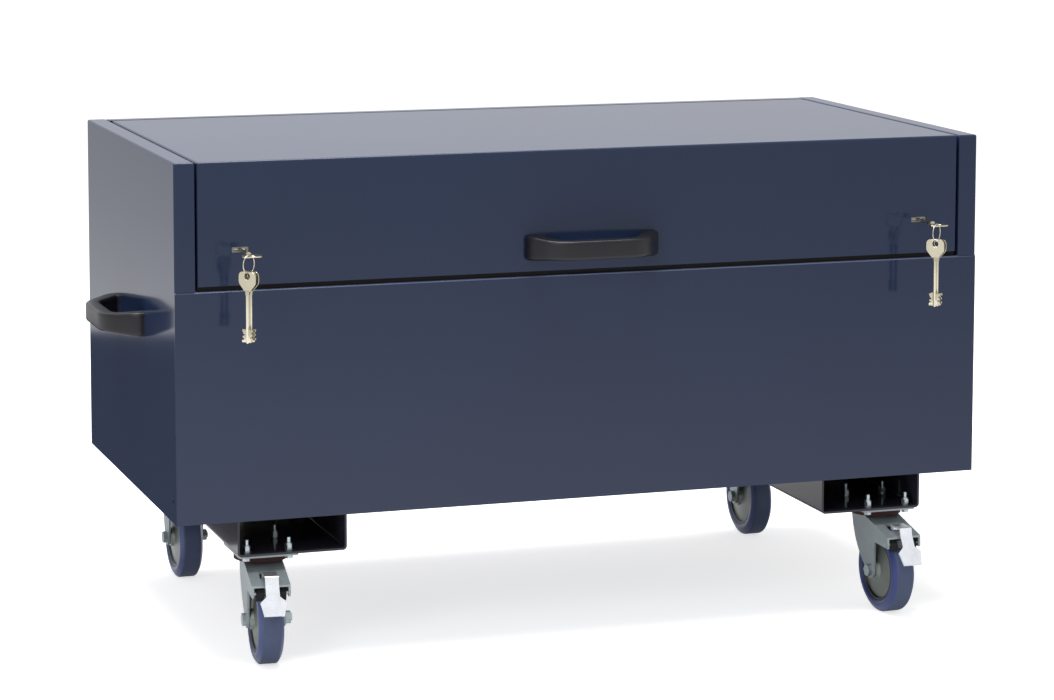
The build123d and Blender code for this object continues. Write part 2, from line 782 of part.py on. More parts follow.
def wheel(x, y, angle, ahead):
    """Tyre, rim and bearing pair of one wheel, as three separate parts."""
    forward, sideways = heading(angle)
    centre = Vector(x, y, wheel_radius) + forward * ahead
    section = Plane(centre, sideways, forward)
    axle = Axis(centre, sideways)
    with BuildPart() as tyre:
        with BuildSketch(section):
            with BuildLine():
                Polyline(
                    (-rim_width / 2, tyre_inner_radius),
                    (-tyre_width / 2, tyre_inner_radius + bead_rise),
                    (-tyre_width / 2, shoulder_radius),
                    (-tread_width / 2, wheel_radius),
                    (tread_width / 2, wheel_radius),
                    (tyre_width / 2, shoulder_radius),
                    (tyre_width / 2, tyre_inner_radius + bead_rise),
                    (rim_width / 2, tyre_inner_radius),
                    close=True,
                )
            make_face()
        revolve(axis=axle)
    with BuildPart() as rim:
        with BuildSketch(section):
            with Locations((0, tyre_inner_radius - rim_band / 2)):
                Rectangle(rim_width, rim_band)
            with Locations((0, (hub_radius + tyre_inner_radius - rim_band) / 2)):
                Rectangle(rim_web, tyre_inner_radius - rim_band - hub_radius + web_overlap)
            with Locations((0, (bearing_radius + hub_radius) / 2)):
                Rectangle(hub_width, hub_radius - bearing_radius)
            for hand in (-1, 1):
                with BuildLine():
                    Polyline(
                        (hand * cover_hub_offset, hub_radius),
                        (hand * (cover_hub_offset + cover_thick), hub_radius),
                        (hand * (cover_rim_offset + cover_thick), cover_radius),
                        (hand * cover_rim_offset, cover_radius),
                        close=True,
                    )
                make_face()
        revolve(axis=axle)
    with BuildPart() as bearings:
        with BuildSketch(section):
            for hand in (-1, 1):
                with Locations((hand * (bearing_span - bearing_width) / 2,
                                (bearing_radius + axle_radius) / 2)):
                    Rectangle(bearing_width, bearing_radius - axle_radius - 2 * running_gap)
        revolve(axis=axle)
    return tyre.part, rim.part, bearings.part


def keep_wheel(name, x, y, angle, ahead):
    """Writes the three parts of one wheel."""
    for piece, part in zip(("tyre", "rim", "bearings"), wheel(x, y, angle, ahead)):
        keep(f"{piece}_{name}", part)


# Rear casters, fixed: plate and two legs in one pressing
for name, side in (("rear_left", -1), ("rear_right", 1)):
    x_at = side * caster_x
    with BuildPart() as bracket:
        add(mounting_plate(x_at, rear_caster_y))
        for hand in (-1, 1):
            with BuildSketch(side_plane(x_at, rear_caster_y, 0, hand * (leg_inner + leg_thick / 2))):
                with BuildLine():
                    Polyline(
                        (-rear_leg_width / 2, caster_height - plate_thick / 2),
                        (-leg_end_radius, wheel_radius),
                        (leg_end_radius, wheel_radius),
                        (rear_leg_width / 2, caster_height - plate_thick / 2),
                        close=True,
                    )
                make_face()
                with Locations((0, wheel_radius)):
                    Circle(leg_end_radius)
                    Circle(axle_radius + running_gap, mode=Mode.SUBTRACT)
            extrude(amount=leg_thick / 2, both=True)
    keep(f"bracket_{name}", bracket.part)
    keep_wheel(name, x_at, rear_caster_y, 0, 0)

with BuildPart() as rear_axle_bolts:
    for side in (-1, 1):
        add(axle_bolt(side * caster_x, rear_caster_y, 0, 0))
keep("rear_axle_bolts", rear_axle_bolts.part)

# Front casters: everything above the swivel stays with the carcass
for name, side in (("left", -1), ("right", 1)):
    with BuildPart() as swivel_plate:
        add(mounting_plate(side * caster_x, front_caster_y))
        with BuildSketch(Plane((side * caster_x, front_caster_y, race_ceiling))):
            Circle(race_radius)
        extrude(amount=caster_height - plate_thick - race_ceiling)
        with BuildSketch(Plane((side * caster_x, front_caster_y, race_low))):
            Circle(race_radius)
            Circle(race_radius - race_wall, mode=Mode.SUBTRACT)
        extrude(amount=caster_height - plate_thick - race_low)
        rod("Z", (side * caster_x, front_caster_y), (race_low, caster_height), king_radius + running_gap,
            Mode.SUBTRACT)
    keep(f"swivel_plate_{name}", swivel_plate.part)

with BuildPart() as king_bolts:
    for side in (-1, 1):
        nut_low = crown_top - crown_thick - 2 * running_gap - king_nut
        rod("Z", (side * caster_x, front_caster_y), (nut_low, caster_height), king_radius)
        with BuildSketch(Plane((side * caster_x, front_caster_y, nut_low))):
            RegularPolygon(king_flats / 2, 6, major_radius=False)
        extrude(amount=king_nut)
keep("king_bolts", king_bolts.part)

with BuildPart() as dust_seals:
    for side in (-1, 1):
        with BuildSketch(Plane((side * caster_x, front_caster_y, dust_seal_low))):
            Circle(seal_radius)
            Circle(race_radius + running_gap, mode=Mode.SUBTRACT)
        extrude(amount=caster_height - plate_thick - dust_seal_low)
keep("dust_seals", dust_seals.part)

with BuildPart() as ball_cages:
    ball_z = (crown_top + race_ceiling) / 2
    for side in (-1, 1):
        with Locations((side * caster_x, front_caster_y, ball_z)):
            Torus(ball_track_radius, cage_radius)
            with PolarLocations(ball_track_radius, ball_count):
                Sphere(ball_radius)
keep("ball_cages", ball_cages.part)

hood_fall = (crown_top - hood_edge_height) / (hood_reach - crown_front)
leg_front = trail + leg_end_radius


def arc_point(orbit, angle):
    """Point of a caster's upright plane on a circle round its axle."""
    return (trail + orbit * cos(radians(angle)), wheel_radius + orbit * sin(radians(angle)))


brake_pin = arc_point(pin_orbit, pin_angle)
for name, side, angle in (("left", -1, swivel_left), ("right", 1, swivel_right)):
    x_at = side * caster_x
    forward, sideways = heading(angle)
    middle = side_plane(x_at, front_caster_y, angle)
    with BuildPart() as fork:
        with BuildSketch(Plane((x_at, front_caster_y, crown_top - crown_thick), forward, (0, 0, 1))):
            with Locations(((crown_front - crown_back) / 2, 0)):
                RectangleRounded(crown_front + crown_back, crown_width, plate_corner)
            with Locations((crown_front - plate_corner / 2, 0)):
                Rectangle(plate_corner, crown_width)
            Circle(king_radius + running_gap, mode=Mode.SUBTRACT)
        extrude(amount=crown_thick)
        with BuildSketch(middle):
            with BuildLine():
                Polyline(
                    (crown_front, crown_top),
                    (hood_reach, hood_edge_height),
                    (hood_reach, hood_edge_height - hood_thick),
                    (crown_front, crown_top - crown_thick),
                    close=True,
                )
            make_face()
        extrude(amount=crown_width / 2, both=True)
        with BuildSketch(Plane((x_at, front_caster_y, crown_top), forward, (0, 0, 1))):
            with Locations(((slot_back + slot_front) / 2, 0)):
                Rectangle(slot_front - slot_back, slot_width)
        extrude(amount=-(crown_top - skirt_low), mode=Mode.SUBTRACT)
        for hand in (-1, 1):
            shift = hand * (crown_width - skirt_thick) / 2
            with BuildSketch(side_plane(x_at, front_caster_y, angle, shift)):
                with BuildLine():
                    Polyline(
                        (crown_front, crown_top),
                        (hood_reach, hood_edge_height),
                        (brake_pin[0] + 2 * pin_radius, brake_pin[1] + pin_radius),
                        (brake_pin[0] + 2 * pin_radius, brake_pin[1] - 2 * pin_radius),
                        (brake_pin[0] - 2 * pin_radius, skirt_low - pin_radius),
                        (trail, skirt_low),
                        (crown_front, skirt_low + crown_thick),
                        close=True,
                    )
                make_face()
                with Locations(brake_pin):
                    Circle(pin_radius + running_gap, mode=Mode.SUBTRACT)
            extrude(amount=skirt_thick / 2, both=True)
            with BuildSketch(side_plane(x_at, front_caster_y, angle, hand * (leg_inner + leg_thick / 2))):
                with BuildLine():
                    rear_curve = Spline(
                        (-crown_back + plate_corner, crown_top - crown_thick / 2),
                        (-crown_back + 2 * plate_corner, crown_top - heel_drop),
                        (trail - leg_end_radius, wheel_radius),
                    )
                    Polyline(
                        rear_curve @ 1,
                        (leg_front, wheel_radius),
                        (leg_front, skirt_low),
                        (leg_front, crown_top - (leg_front - crown_front) * hood_fall - hood_thick / 2),
                        (crown_front, crown_top - crown_thick / 2),
                        rear_curve @ 0,
                    )
                make_face()
                with Locations((trail, wheel_radius)):
                    Circle(leg_end_radius)
                    Circle(axle_radius + running_gap, mode=Mode.SUBTRACT)
            extrude(amount=leg_thick / 2, both=True)
    keep(f"fork_{name}", fork.part)

    with BuildPart() as fork_pins:
        add(axle_bolt(x_at, front_caster_y, angle, trail))
        with BuildSketch(side_plane(x_at, front_caster_y, angle)):
            with Locations(brake_pin):
                Circle(pin_radius)
        extrude(amount=crown_width / 2 + pin_proud, both=True)
    keep(f"fork_pins_{name}", fork_pins.part)

    with BuildPart() as pedal:
        with BuildSketch(middle):
            with BuildLine():
                FilletPolyline(
                    (slot_front - 2 * pedal_thick, hood_edge_height),
                    (slot_front - 2 * pedal_thick, hook_top),
                    (hood_reach + hook_overhang, hook_top),
                    (hood_reach + hook_overhang + pedal_thick, hood_edge_height + pedal_thick),
                    paddle_shoulder,
                    radius=hook_round,
                )
                offset(amount=pedal_thick, side=Side.RIGHT)
            make_face()
        extrude(amount=neck_width / 2, both=True)
        drop = Vector(paddle_end[0] - paddle_shoulder[0], paddle_end[1] - paddle_shoulder[1])
        down = (forward * drop.X + Vector(0, 0, drop.Y)).normalized()
        top_mid = middle.from_local_coords(Vector(*paddle_shoulder, 0))
        with BuildSketch(Plane(top_mid, sideways, sideways.cross(down))):
            with BuildLine():
                Polyline(
                    (-neck_width / 2, -paddle_tuck),
                    (-paddle_width / 2, drop.length / 4),
                    (-paddle_tip_width / 2, drop.length),
                    (paddle_tip_width / 2, drop.length),
                    (paddle_width / 2, drop.length / 4),
                    (neck_width / 2, -paddle_tuck),
                    close=True,
                )
            make_face()
        extrude(amount=pedal_thick)
        for hand in (-1, 1):
            with BuildSketch(side_plane(x_at, front_caster_y, angle, hand * (neck_width - lug_thick) / 2)):
                with BuildLine():
                    Polyline(
                        arc_point(lug_orbit, pin_angle + lug_spread),
                        (hood_reach + hook_overhang + pedal_thick / 2, hood_edge_height),
                        paddle_shoulder,
                        arc_point(lug_orbit, pin_angle - lug_spread),
                        close=True,
                    )
                make_face()
                with Locations(brake_pin):
                    Circle(pin_radius + running_gap, mode=Mode.SUBTRACT)
            extrude(amount=lug_thick / 2, both=True)
    keep(f"pedal_{name}", pedal.part)

    with BuildPart() as brake_shoe:
        for hand in (-1, 1):
            inner_face = neck_width / 2
            shoe_mid = hand * (inner_face + shoe_outer) / 2
            shoe_inner = wheel_radius + shoe_gap
            shoe_outside = shoe_inner + shoe_thick
            with BuildSketch(side_plane(x_at, front_caster_y, angle, shoe_mid)):
                with BuildLine():
                    half_way = (shoe_from + shoe_to) / 2
                    ThreePointArc(arc_point(shoe_inner, shoe_from), arc_point(shoe_inner, half_way),
                                  arc_point(shoe_inner, shoe_to))
                    Line(arc_point(shoe_inner, shoe_to), arc_point(shoe_outside, shoe_to))
                    ThreePointArc(arc_point(shoe_outside, shoe_to),
                                  arc_point(shoe_outside, half_way + shoe_slant / 2),
                                  arc_point(shoe_outside, shoe_from + shoe_slant))
                    Line(arc_point(shoe_outside, shoe_from + shoe_slant), arc_point(shoe_inner, shoe_from))
                make_face()
                with Locations(brake_pin):
                    Circle(pin_radius + running_gap, mode=Mode.SUBTRACT)
            extrude(amount=(shoe_outer - inner_face) / 2, both=True)
    keep(f"brake_shoes_{name}", brake_shoe.part)
    keep_wheel(f"front_{name}", x_at, front_caster_y, angle, trail)
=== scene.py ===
"""Rolling jobsite security box: the looks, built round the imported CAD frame.

Metres, in the frame's own axes: +X right, +Y back, +Z up, with the floor at zero.
"""

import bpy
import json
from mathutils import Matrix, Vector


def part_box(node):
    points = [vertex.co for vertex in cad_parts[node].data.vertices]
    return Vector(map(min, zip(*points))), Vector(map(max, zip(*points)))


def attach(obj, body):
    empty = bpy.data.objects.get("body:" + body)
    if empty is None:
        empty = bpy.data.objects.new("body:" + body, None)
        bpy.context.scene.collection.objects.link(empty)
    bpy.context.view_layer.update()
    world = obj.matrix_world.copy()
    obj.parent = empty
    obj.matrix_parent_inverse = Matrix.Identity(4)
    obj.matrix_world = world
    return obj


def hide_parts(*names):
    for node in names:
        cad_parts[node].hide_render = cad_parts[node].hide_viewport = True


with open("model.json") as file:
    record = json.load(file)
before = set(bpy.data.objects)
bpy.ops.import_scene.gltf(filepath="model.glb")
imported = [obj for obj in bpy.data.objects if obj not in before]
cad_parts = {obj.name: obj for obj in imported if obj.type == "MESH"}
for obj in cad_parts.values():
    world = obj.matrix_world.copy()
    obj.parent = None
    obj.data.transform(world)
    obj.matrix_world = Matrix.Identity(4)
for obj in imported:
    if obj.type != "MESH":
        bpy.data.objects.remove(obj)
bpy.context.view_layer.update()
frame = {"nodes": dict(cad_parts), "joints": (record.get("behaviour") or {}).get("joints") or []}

import json
import math

import bmesh
import bpy
import numpy as np
from bpy.props import FloatProperty, FloatVectorProperty, IntProperty, PointerProperty
from bpy.types import Operator, Panel, PropertyGroup
from mathutils import Matrix, Vector

bl_info = {
    "name": "Rolling Security Box",
    "version": (1, 0, 0),
    "blender": (4, 5, 0),
    "location": "View3D > Sidebar > Security Box",
    "description": "Dresses the CAD frame of a lockable steel chest on casters",
    "category": "Object",
}

MM = 0.001
SIDES = ("left", "right")
JOINTS = {joint["name"]: joint for joint in frame["joints"]}

# Width of the painted highlight along the front panel's top fold, a pale band standing in for the
# light that the rounded bend catches
FOLD_HIGHLIGHT_WIDTH = 2.4 * MM
# Degrees by which a key ring leans back, and the height from its wire to its keys' holes
RING_LEAN = 40
KEY_HANG = 3.6 * MM

# The photograph's frame and the place that it was taken from
PHOTO_WIDTH = 1054
FOCAL_PIXELS = 3324.6
LENS_SHIFT_PIXELS = -214.8
SENSOR = 36.0
CAMERA_PLACE = (-1.5661, -4.6434, 1.229)
CAMERA_YAW = 18.545
CAMERA_PITCH = 6.2
CAMERA_ROLL = 0.107

# Light that the floor gives off towards the camera and towards mirroring surfaces
FLOOR_GLOW = 0.68
MIRRORED_GLOW = 0.42
# Strength of the world where it lights the box and where it is seen
WORLD_LIGHT = 0.42
WORLD_SEEN = 1.0
FLOOR_REACH = 30.0
SQUARE = ((-1, -1), (1, -1), (1, 1), (-1, 1))
# Corners of the dark sheet at the box's left end, which only glossy rays meet: a painted dark
# reflection on the lower part of that end
CARD_HEIGHT = 2 * MM
REFLECTION_CARD_CORNERS = ((-1.5, 0.45), (-0.66, 0.45), (-0.66, 2.75), (-1.5, 2.3))


class Shade:
    """A number on its way to a shader. Arithmetic on it adds Math nodes."""

    def __init__(self, finish, socket):
        self.finish = finish
        self.socket = socket

    def _with(self, operation, *values):
        return self.finish.node("ShaderNodeMath", {"operation": operation}, values)

    def __add__(self, other):
        return self._with("ADD", self, other)

    __radd__ = __add__

    def __sub__(self, other):
        return self._with("SUBTRACT", self, other)

    def __rsub__(self, other):
        return self._with("SUBTRACT", other, self)

    def __mul__(self, other):
        return self._with("MULTIPLY", self, other)

    __rmul__ = __mul__

    def __abs__(self):
        return self._with("ABSOLUTE", self)

    def step(self, low, high):
        """Smooth step: 0 below low, 1 above high, 3t^2 - 2t^3 between them."""
        settings = {"interpolation_type": "SMOOTHSTEP"}
        return self.finish.node("ShaderNodeMapRange", settings, (self, low, high, 0.0, 1.0))


class Finish:
    """One node material: a Principled shader whose sockets the methods feed."""

    def __init__(self, name, **sockets):
        self.material = bpy.data.materials.new(name)
        self.material.use_nodes = True
        self.tree = self.material.node_tree
        self.shader = self.tree.nodes["Principled BSDF"]
        for socket, value in sockets.items():
            self.feed(socket.replace("_", " "), value)
        self.coords = self.node("ShaderNodeTexCoord", {}, (), "Object")

    def put(self, socket, value):
        if isinstance(value, Shade):
            self.tree.links.new(value.socket, socket)
        else:
            is_colour = socket.type == "RGBA" and len(value) == 3
            socket.default_value = (*value, 1.0) if is_colour else value

    def feed(self, socket, value):
        """Gives one socket of the Principled shader a value or a link."""
        self.put(self.shader.inputs[socket], value)

    def node(self, kind, settings, values, output=0):
        """Adds a node: its settings first, then its sockets by order or by name."""
        made = self.tree.nodes.new(kind)
        for name, value in settings.items():
            setattr(made, name, value)
        pairs = values.items() if isinstance(values, dict) else enumerate(values)
        for key, value in pairs:
            self.put(made.inputs[key], value)
        return Shade(self, made.outputs[output])

    def noise(self, scale, detail=2.0, stretch=(1.0, 1.0, 1.0)):
        """Noise from 0 to 1, scale waves to the metre, stretched along the object's axes."""
        place = self.node("ShaderNodeMapping", {}, {"Vector": self.coords, "Scale": stretch})
        return self.node(
            "ShaderNodeTexNoise", {}, {"Vector": place, "Scale": scale, "Detail": detail}
        )

    def speckle(self, scale):
        """Distance to the nearest of a cloud of points, scale of them to the metre."""
        return self.node("ShaderNodeTexVoronoi", {}, {"Vector": self.coords, "Scale": scale})

    def between(self, share, dark, light):
        """Colour that goes from dark to light as share goes from 0 to 1.

        A mix node's colours are its inputs 6 and 7 and its output 2.
        """
        settings = {"data_type": "RGBA"}
        return self.node("ShaderNodeMix", settings, {0: share, 6: dark, 7: light}, 2)

    def relief(self, height, depth, strength):
        """Bumps of a depth in metres where height goes from 0 to 1."""
        values = {"Height": height, "Distance": depth, "Strength": strength}
        self.feed("Normal", self.node("ShaderNodeBump", {}, values))

    def height(self):
        """Z in the object's own space."""
        return self.node("ShaderNodeSeparateXYZ", {}, (self.coords,), 2)

    def uv(self):
        """The piece's own map: place across the profile, and share of the largest radius."""
        mapped = self.node("ShaderNodeTexCoord", {}, (), "UV")
        across = self.node("ShaderNodeSeparateXYZ", {}, (mapped,))
        return across, Shade(self, across.socket.node.outputs[1])


def shade_of(colour, factor):
    """A colour times a factor, channel by channel."""
    return tuple(factor * channel for channel in colour[:3])


def powder_coat(colour, name="powder_coat", gloss=0.6, fold=None):
    """Semi-gloss powder coat: orange peel, faint cloudiness and a painted highlight, a pale band
    at a fold's height where the bend would catch the light.
    """
    finish = Finish(
        name, Roughness=0.5, Specular_IOR_Level=0.0, Coat_Weight=gloss, Coat_Roughness=0.10
    )
    cloud = finish.noise(3.0, 3.0)
    grain = finish.noise(900.0, 2.0)
    tone = cloud * 0.7 + grain * 0.3
    base = finish.between(tone, shade_of(colour, 0.86), shade_of(colour, 1.14))
    # Painted highlight: a pale band just below the fold's height, standing in for the light on the
    # bend
    if fold is not None:
        line = finish.height().step(fold - FOLD_HIGHLIGHT_WIDTH, fold - FOLD_HIGHLIGHT_WIDTH / 2)
        pale = tuple(0.09 + 3 * channel for channel in colour[:3])
        base = finish.between(line * 0.85, base, pale)
    finish.feed("Base Color", base)
    finish.feed("Roughness", 0.42 + 0.16 * grain)
    peel = finish.noise(420.0, 2.5)
    finish.relief(peel, 0.05 * MM, 0.6)
    return finish.material


def moulded_plastic(colour):
    """Black moulded plastic: fine spark-eroded grain over a satin surface."""
    finish = Finish("moulded_plastic", Specular_IOR_Level=0.35)
    grain = finish.speckle(1400.0)
    wear = finish.noise(25.0, 4.0)
    finish.feed(
        "Base Color", finish.between(wear, shade_of(colour, 0.8), shade_of(colour, 1.4))
    )
    finish.feed("Roughness", 0.30 + 0.14 * wear)
    finish.relief(grain, 0.08 * MM, 0.5)
    return finish.material


def plated_steel(name, colour, roughness, spread=0.12, spangle=0.25, metallic=1.0):
    """Zinc or nickel plating: soft spangle, fine drawn lines and duller patches."""
    finish = Finish(name, Metallic=metallic)
    patch = finish.noise(45.0, 4.0)
    lines = finish.noise(260.0, 3.0, (1.0, 1.0, 6.0))
    tone = patch * (1 - spangle) + lines * spangle
    finish.feed(
        "Base Color", finish.between(tone, shade_of(colour, 0.72), shade_of(colour, 1.22))
    )
    finish.feed("Roughness", roughness - spread / 2 + spread * patch)
    finish.relief(lines, 0.03 * MM, 0.4)
    return finish.material


def polyurethane(side_colour, tread_colour):
    """Wheel tyre: clear blue flanks, and a duller tread with rolling marks."""
    finish = Finish("tyre_polyurethane", Specular_IOR_Level=0.5)
    across, radius = finish.uv()
    tread = radius.step(0.972, 0.992)
    dirt = finish.noise(70.0, 5.0)
    scuff = finish.noise(500.0, 2.0)
    flank = finish.between(dirt, shade_of(side_colour, 0.8), shade_of(side_colour, 1.15))
    rolled = finish.between(
        dirt * 0.6 + scuff * 0.4, shade_of(tread_colour, 0.65), shade_of(tread_colour, 1.3)
    )
    finish.feed("Base Color", finish.between(tread, flank, rolled))
    finish.feed("Roughness", 0.3 + 0.28 * tread + 0.1 * dirt)
    seam = 1 - abs(across - 0.5).step(0.004, 0.012)
    finish.relief(scuff * 0.3 + seam * 0.5, 0.2 * MM, 0.5)
    return finish.material


def cast_rim(colour):
    """Painted wheel disc: a dark ring at its edge, a paler hub and fine turning lines."""
    finish = Finish("rim_lacquer", Metallic=0.35)
    _, radius = finish.uv()
    edge = radius.step(0.87, 0.90)
    hub = 1 - radius.step(0.33, 0.37)
    turning = finish.node("ShaderNodeTexNoise", {}, {"Vector": radius, "Scale": 260.0})
    dust = finish.noise(60.0, 4.0)
    face = finish.between(dust, shade_of(colour, 0.8), shade_of(colour, 1.2))
    ringed = finish.between(edge, face, shade_of(colour, 0.1))
    finish.feed("Base Color", finish.between(hub * 0.6, ringed, shade_of(colour, 1.6)))
    finish.feed("Roughness", 0.34 + 0.15 * dust)
    finish.relief(turning, 0.06 * MM, 0.5)
    return finish.material


def soft_rubber(name, colour, scale=600.0):
    """Foam or rubber: matt, with open pores."""
    finish = Finish(name, Specular_IOR_Level=0.25)
    pores = finish.speckle(scale)
    tone = finish.noise(90.0, 3.0)
    finish.feed(
        "Base Color", finish.between(tone, shade_of(colour, 0.7), shade_of(colour, 1.3))
    )
    finish.feed("Roughness", 0.75 + 0.15 * tone)
    finish.relief(pores, 0.2 * MM, 0.6)
    return finish.material


def soften(corners, radius, steps=6, closed=True):
    """Rounds a polyline: a corner c becomes (1-t)^2 a + 2t(1-t) c + t^2 b.

    a and b lie on the corner's two edges, a radius from it, or just under half an edge.
    """
    corner = np.asarray(corners, float)
    size = np.broadcast_to(radius, len(corner))[:, None]

    def towards(edge):
        length = np.linalg.norm(edge, axis=1, keepdims=True)
        return corner + edge * np.minimum(size / length, 0.49)

    a, b = towards(np.roll(corner, 1, 0) - corner), towards(np.roll(corner, -1, 0) - corner)
    t = np.linspace(0, 1, steps)[:, None, None]
    curve = (1 - t) ** 2 * a + 2 * t * (1 - t) * corner + t * t * b
    points = curve.transpose(1, 0, 2).reshape(-1, corner.shape[1])
    if closed:
        return points
    inner = points[steps:-steps]
    return np.vstack([corner[:1], inner, corner[-1:]])


def finer(outline, parts):
    """The same closed outline with each of its edges cut into equal parts."""
    share = np.linspace(0, 1, parts, endpoint=False)[None, :, None]
    ahead = np.roll(outline, -1, 0)
    return (outline[:, None] * (1 - share) + ahead[:, None] * share).reshape(-1, 2)


def woven(points, wrap_rows, uv=None):
    """Vertices, faces and map of a grid of points whose columns close on themselves.

    The rows close on themselves too, or the first and the last are capped.
    """
    rows, cols = points.shape[:2]
    index = np.arange(rows * cols).reshape(rows, cols)
    if wrap_rows:
        index = np.vstack([index, index[:1]])
    index = np.hstack([index, index[:, :1]])
    quads = np.stack([index[:-1, :-1], index[1:, :-1], index[1:, 1:], index[:-1, 1:]], -1)
    faces = quads.reshape(-1, 4).tolist()
    if not wrap_rows:
        faces += [index[0, :cols].tolist(), index[-1, :cols].tolist()]
    flat = np.zeros((rows * cols, 2)) if uv is None else uv.reshape(-1, 2)
    return points.reshape(-1, 3), faces, flat


def turned(profile, centre, axis, segments=96):
    """Profile of (along, radius) pairs turned about an axis through a centre.

    Point (a, r) at angle u goes to centre + a axis + r (cos u p + sin u q), with p and q
    square to the axis. Its map is (a / width + 1/2, r / largest r).
    """
    axis = np.asarray(axis, float) / np.linalg.norm(axis)
    p = np.cross(axis, (0.0, 0.0, 1.0))
    if np.linalg.norm(p) < 0.1:
        p = np.cross(axis, (0.0, 1.0, 0.0))
    p /= np.linalg.norm(p)
    q = np.cross(axis, p)
    u = np.linspace(0, 2 * np.pi, segments, endpoint=False)[:, None, None]
    along, radius = profile[None, :, :1], profile[None, :, 1:]
    points = np.asarray(centre) + along * axis + radius * (np.cos(u) * p + np.sin(u) * q)
    across = profile[:, 0] / np.ptp(profile[:, 0]) + 0.5
    share = profile[:, 1] / profile[:, 1].max()
    uv = np.broadcast_to(np.stack([across, share], -1), (segments, len(profile), 2))
    return woven(points, True, uv=uv)


def carried(path, section, wide, high, square):
    """Section of (a, b) pairs carried along a flat path, whose plane square stands on.

    Point (a, b) at a path point goes to path + a wide n + b high square, with n the path's
    own normal in that plane.
    """
    along = np.gradient(path, axis=0)
    along /= np.linalg.norm(along, axis=1, keepdims=True)
    normal = np.cross(along, square)
    a = section[None, :, :1] * wide[:, None, None]
    b = section[None, :, 1:] * high[:, None, None]
    return woven(path[:, None] + a * normal[:, None] + b * np.asarray(square, float), False)


def plate(outline, place, right, up, thick, bevel):
    """Flat plate from an outline, with its rims drawn in by a bevel.

    Level k of the outline is scaled about its middle by 1 - bevel / reach on the two outer
    levels and lies at height h_k, so the four levels make the two faces and the wall.
    """
    middle = outline.mean(0)
    reach = np.linalg.norm(outline - middle, axis=1).mean()
    normal = np.cross(right, up)
    levels = np.array([-thick / 2, -thick / 2 + bevel, thick / 2 - bevel, thick / 2])
    scale = np.array([1 - bevel / reach, 1, 1, 1 - bevel / reach])
    flat = middle + scale[:, None, None] * (outline - middle)
    points = (
        np.asarray(place, float)
        + flat[..., :1] * np.asarray(right, float)
        + flat[..., 1:] * np.asarray(up, float)
        + levels[:, None, None] * normal
    )
    return woven(points, False)


def pierced(outline, hole, radius, place, right, up, thick, bevel):
    """Plate with a round hole: each outline point is joined to the hole's rim beside it."""
    ray = outline - hole
    ray /= np.linalg.norm(ray, axis=1, keepdims=True)
    rim, lip = hole + radius * ray, hole + (radius + bevel) * ray
    inset = outline - bevel * ray
    normal = np.cross(right, up)
    rings = ((rim, bevel), (lip, 0), (inset, 0), (outline, bevel))
    rows = []
    for side, order in ((-1, rings), (1, rings[::-1])):
        for ring, sunk in order:
            rows.append(
                np.asarray(place, float)
                + ring[:, :1] * np.asarray(right, float)
                + ring[:, 1:] * np.asarray(up, float)
                + side * (thick / 2 - sunk) * normal
            )
    return woven(np.array(rows), True)


def piece(name, shapes, material, body, stands_for=(), sharp=40.0):
    """Makes one object from its shapes, with its faces outwards, and puts it on its body."""
    points, faces, maps, first = [], [], [], 0
    for shape_points, shape_faces, shape_map in shapes:
        points.append(shape_points)
        maps.append(shape_map)
        faces += [[first + corner for corner in face] for face in shape_faces]
        first += len(shape_points)
    mesh = bpy.data.meshes.new(name)
    mesh.from_pydata(np.vstack(points).tolist(), [], faces)
    work = bmesh.new()
    work.from_mesh(mesh)
    bmesh.ops.recalc_face_normals(work, faces=work.faces)
    work.to_mesh(mesh)
    work.free()
    corner = np.zeros(len(mesh.loops), np.int32)
    mesh.loops.foreach_get("vertex_index", corner)
    layer = mesh.uv_layers.new(name="profile")
    layer.data.foreach_set("uv", np.vstack(maps)[corner].astype(np.float32).ravel())
    mesh.shade_smooth()
    mesh.set_sharp_from_angle(angle=math.radians(sharp))
    mesh.materials.append(material)
    made = bpy.data.objects.new(name, mesh)
    bpy.context.scene.collection.objects.link(made)
    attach(made, body)
    if stands_for:
        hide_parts(*stands_for)
    return made


def coat(material, *nodes):
    """Gives CAD nodes, which keep their own shape, a material."""
    for node in nodes:
        mesh = frame["nodes"][node].data
        mesh.materials.clear()
        mesh.materials.append(material)


def span(node):
    """Lowest corner, highest corner and middle of a CAD node."""
    low, high = (np.array(corner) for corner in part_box(node))
    return low, high, (low + high) / 2


class BoxColours(PropertyGroup):
    """Colours of the box, linear."""

    body: FloatVectorProperty(
        name="Powder coat", description="Panels and lid", subtype="COLOR",
        default=(0.0155, 0.0270, 0.066), min=0, max=1,
    )
    skid: FloatVectorProperty(
        name="Skids", description="Powder coat of the skids", subtype="COLOR",
        default=(0.021, 0.021, 0.031), min=0, max=1,
    )
    plastic: FloatVectorProperty(
        name="Handles", description="Moulded handles", subtype="COLOR",
        default=(0.005, 0.005, 0.008), min=0, max=1,
    )
    zinc: FloatVectorProperty(
        name="Zinc", description="Caster forks and plates", subtype="COLOR",
        default=(0.30, 0.34, 0.355), min=0, max=1,
    )
    tyre: FloatVectorProperty(
        name="Tyre flank", description="Sides of the tyres", subtype="COLOR",
        default=(0.018, 0.036, 0.165), min=0, max=1,
    )
    tread: FloatVectorProperty(
        name="Tyre tread", description="Running surface of the tyres", subtype="COLOR",
        default=(0.050, 0.070, 0.140), min=0, max=1,
    )
    rim: FloatVectorProperty(
        name="Rim", description="Wheel discs", subtype="COLOR",
        default=(0.15, 0.17, 0.155), min=0, max=1,
    )
    key: FloatVectorProperty(
        name="Keys", description="Nickel of the keys and rings", subtype="COLOR",
        default=(0.52, 0.48, 0.37), min=0, max=1,
    )
    floor: FloatVectorProperty(
        name="Floor", description="Studio floor", subtype="COLOR",
        default=(0.88, 0.88, 0.89), min=0, max=1,
    )


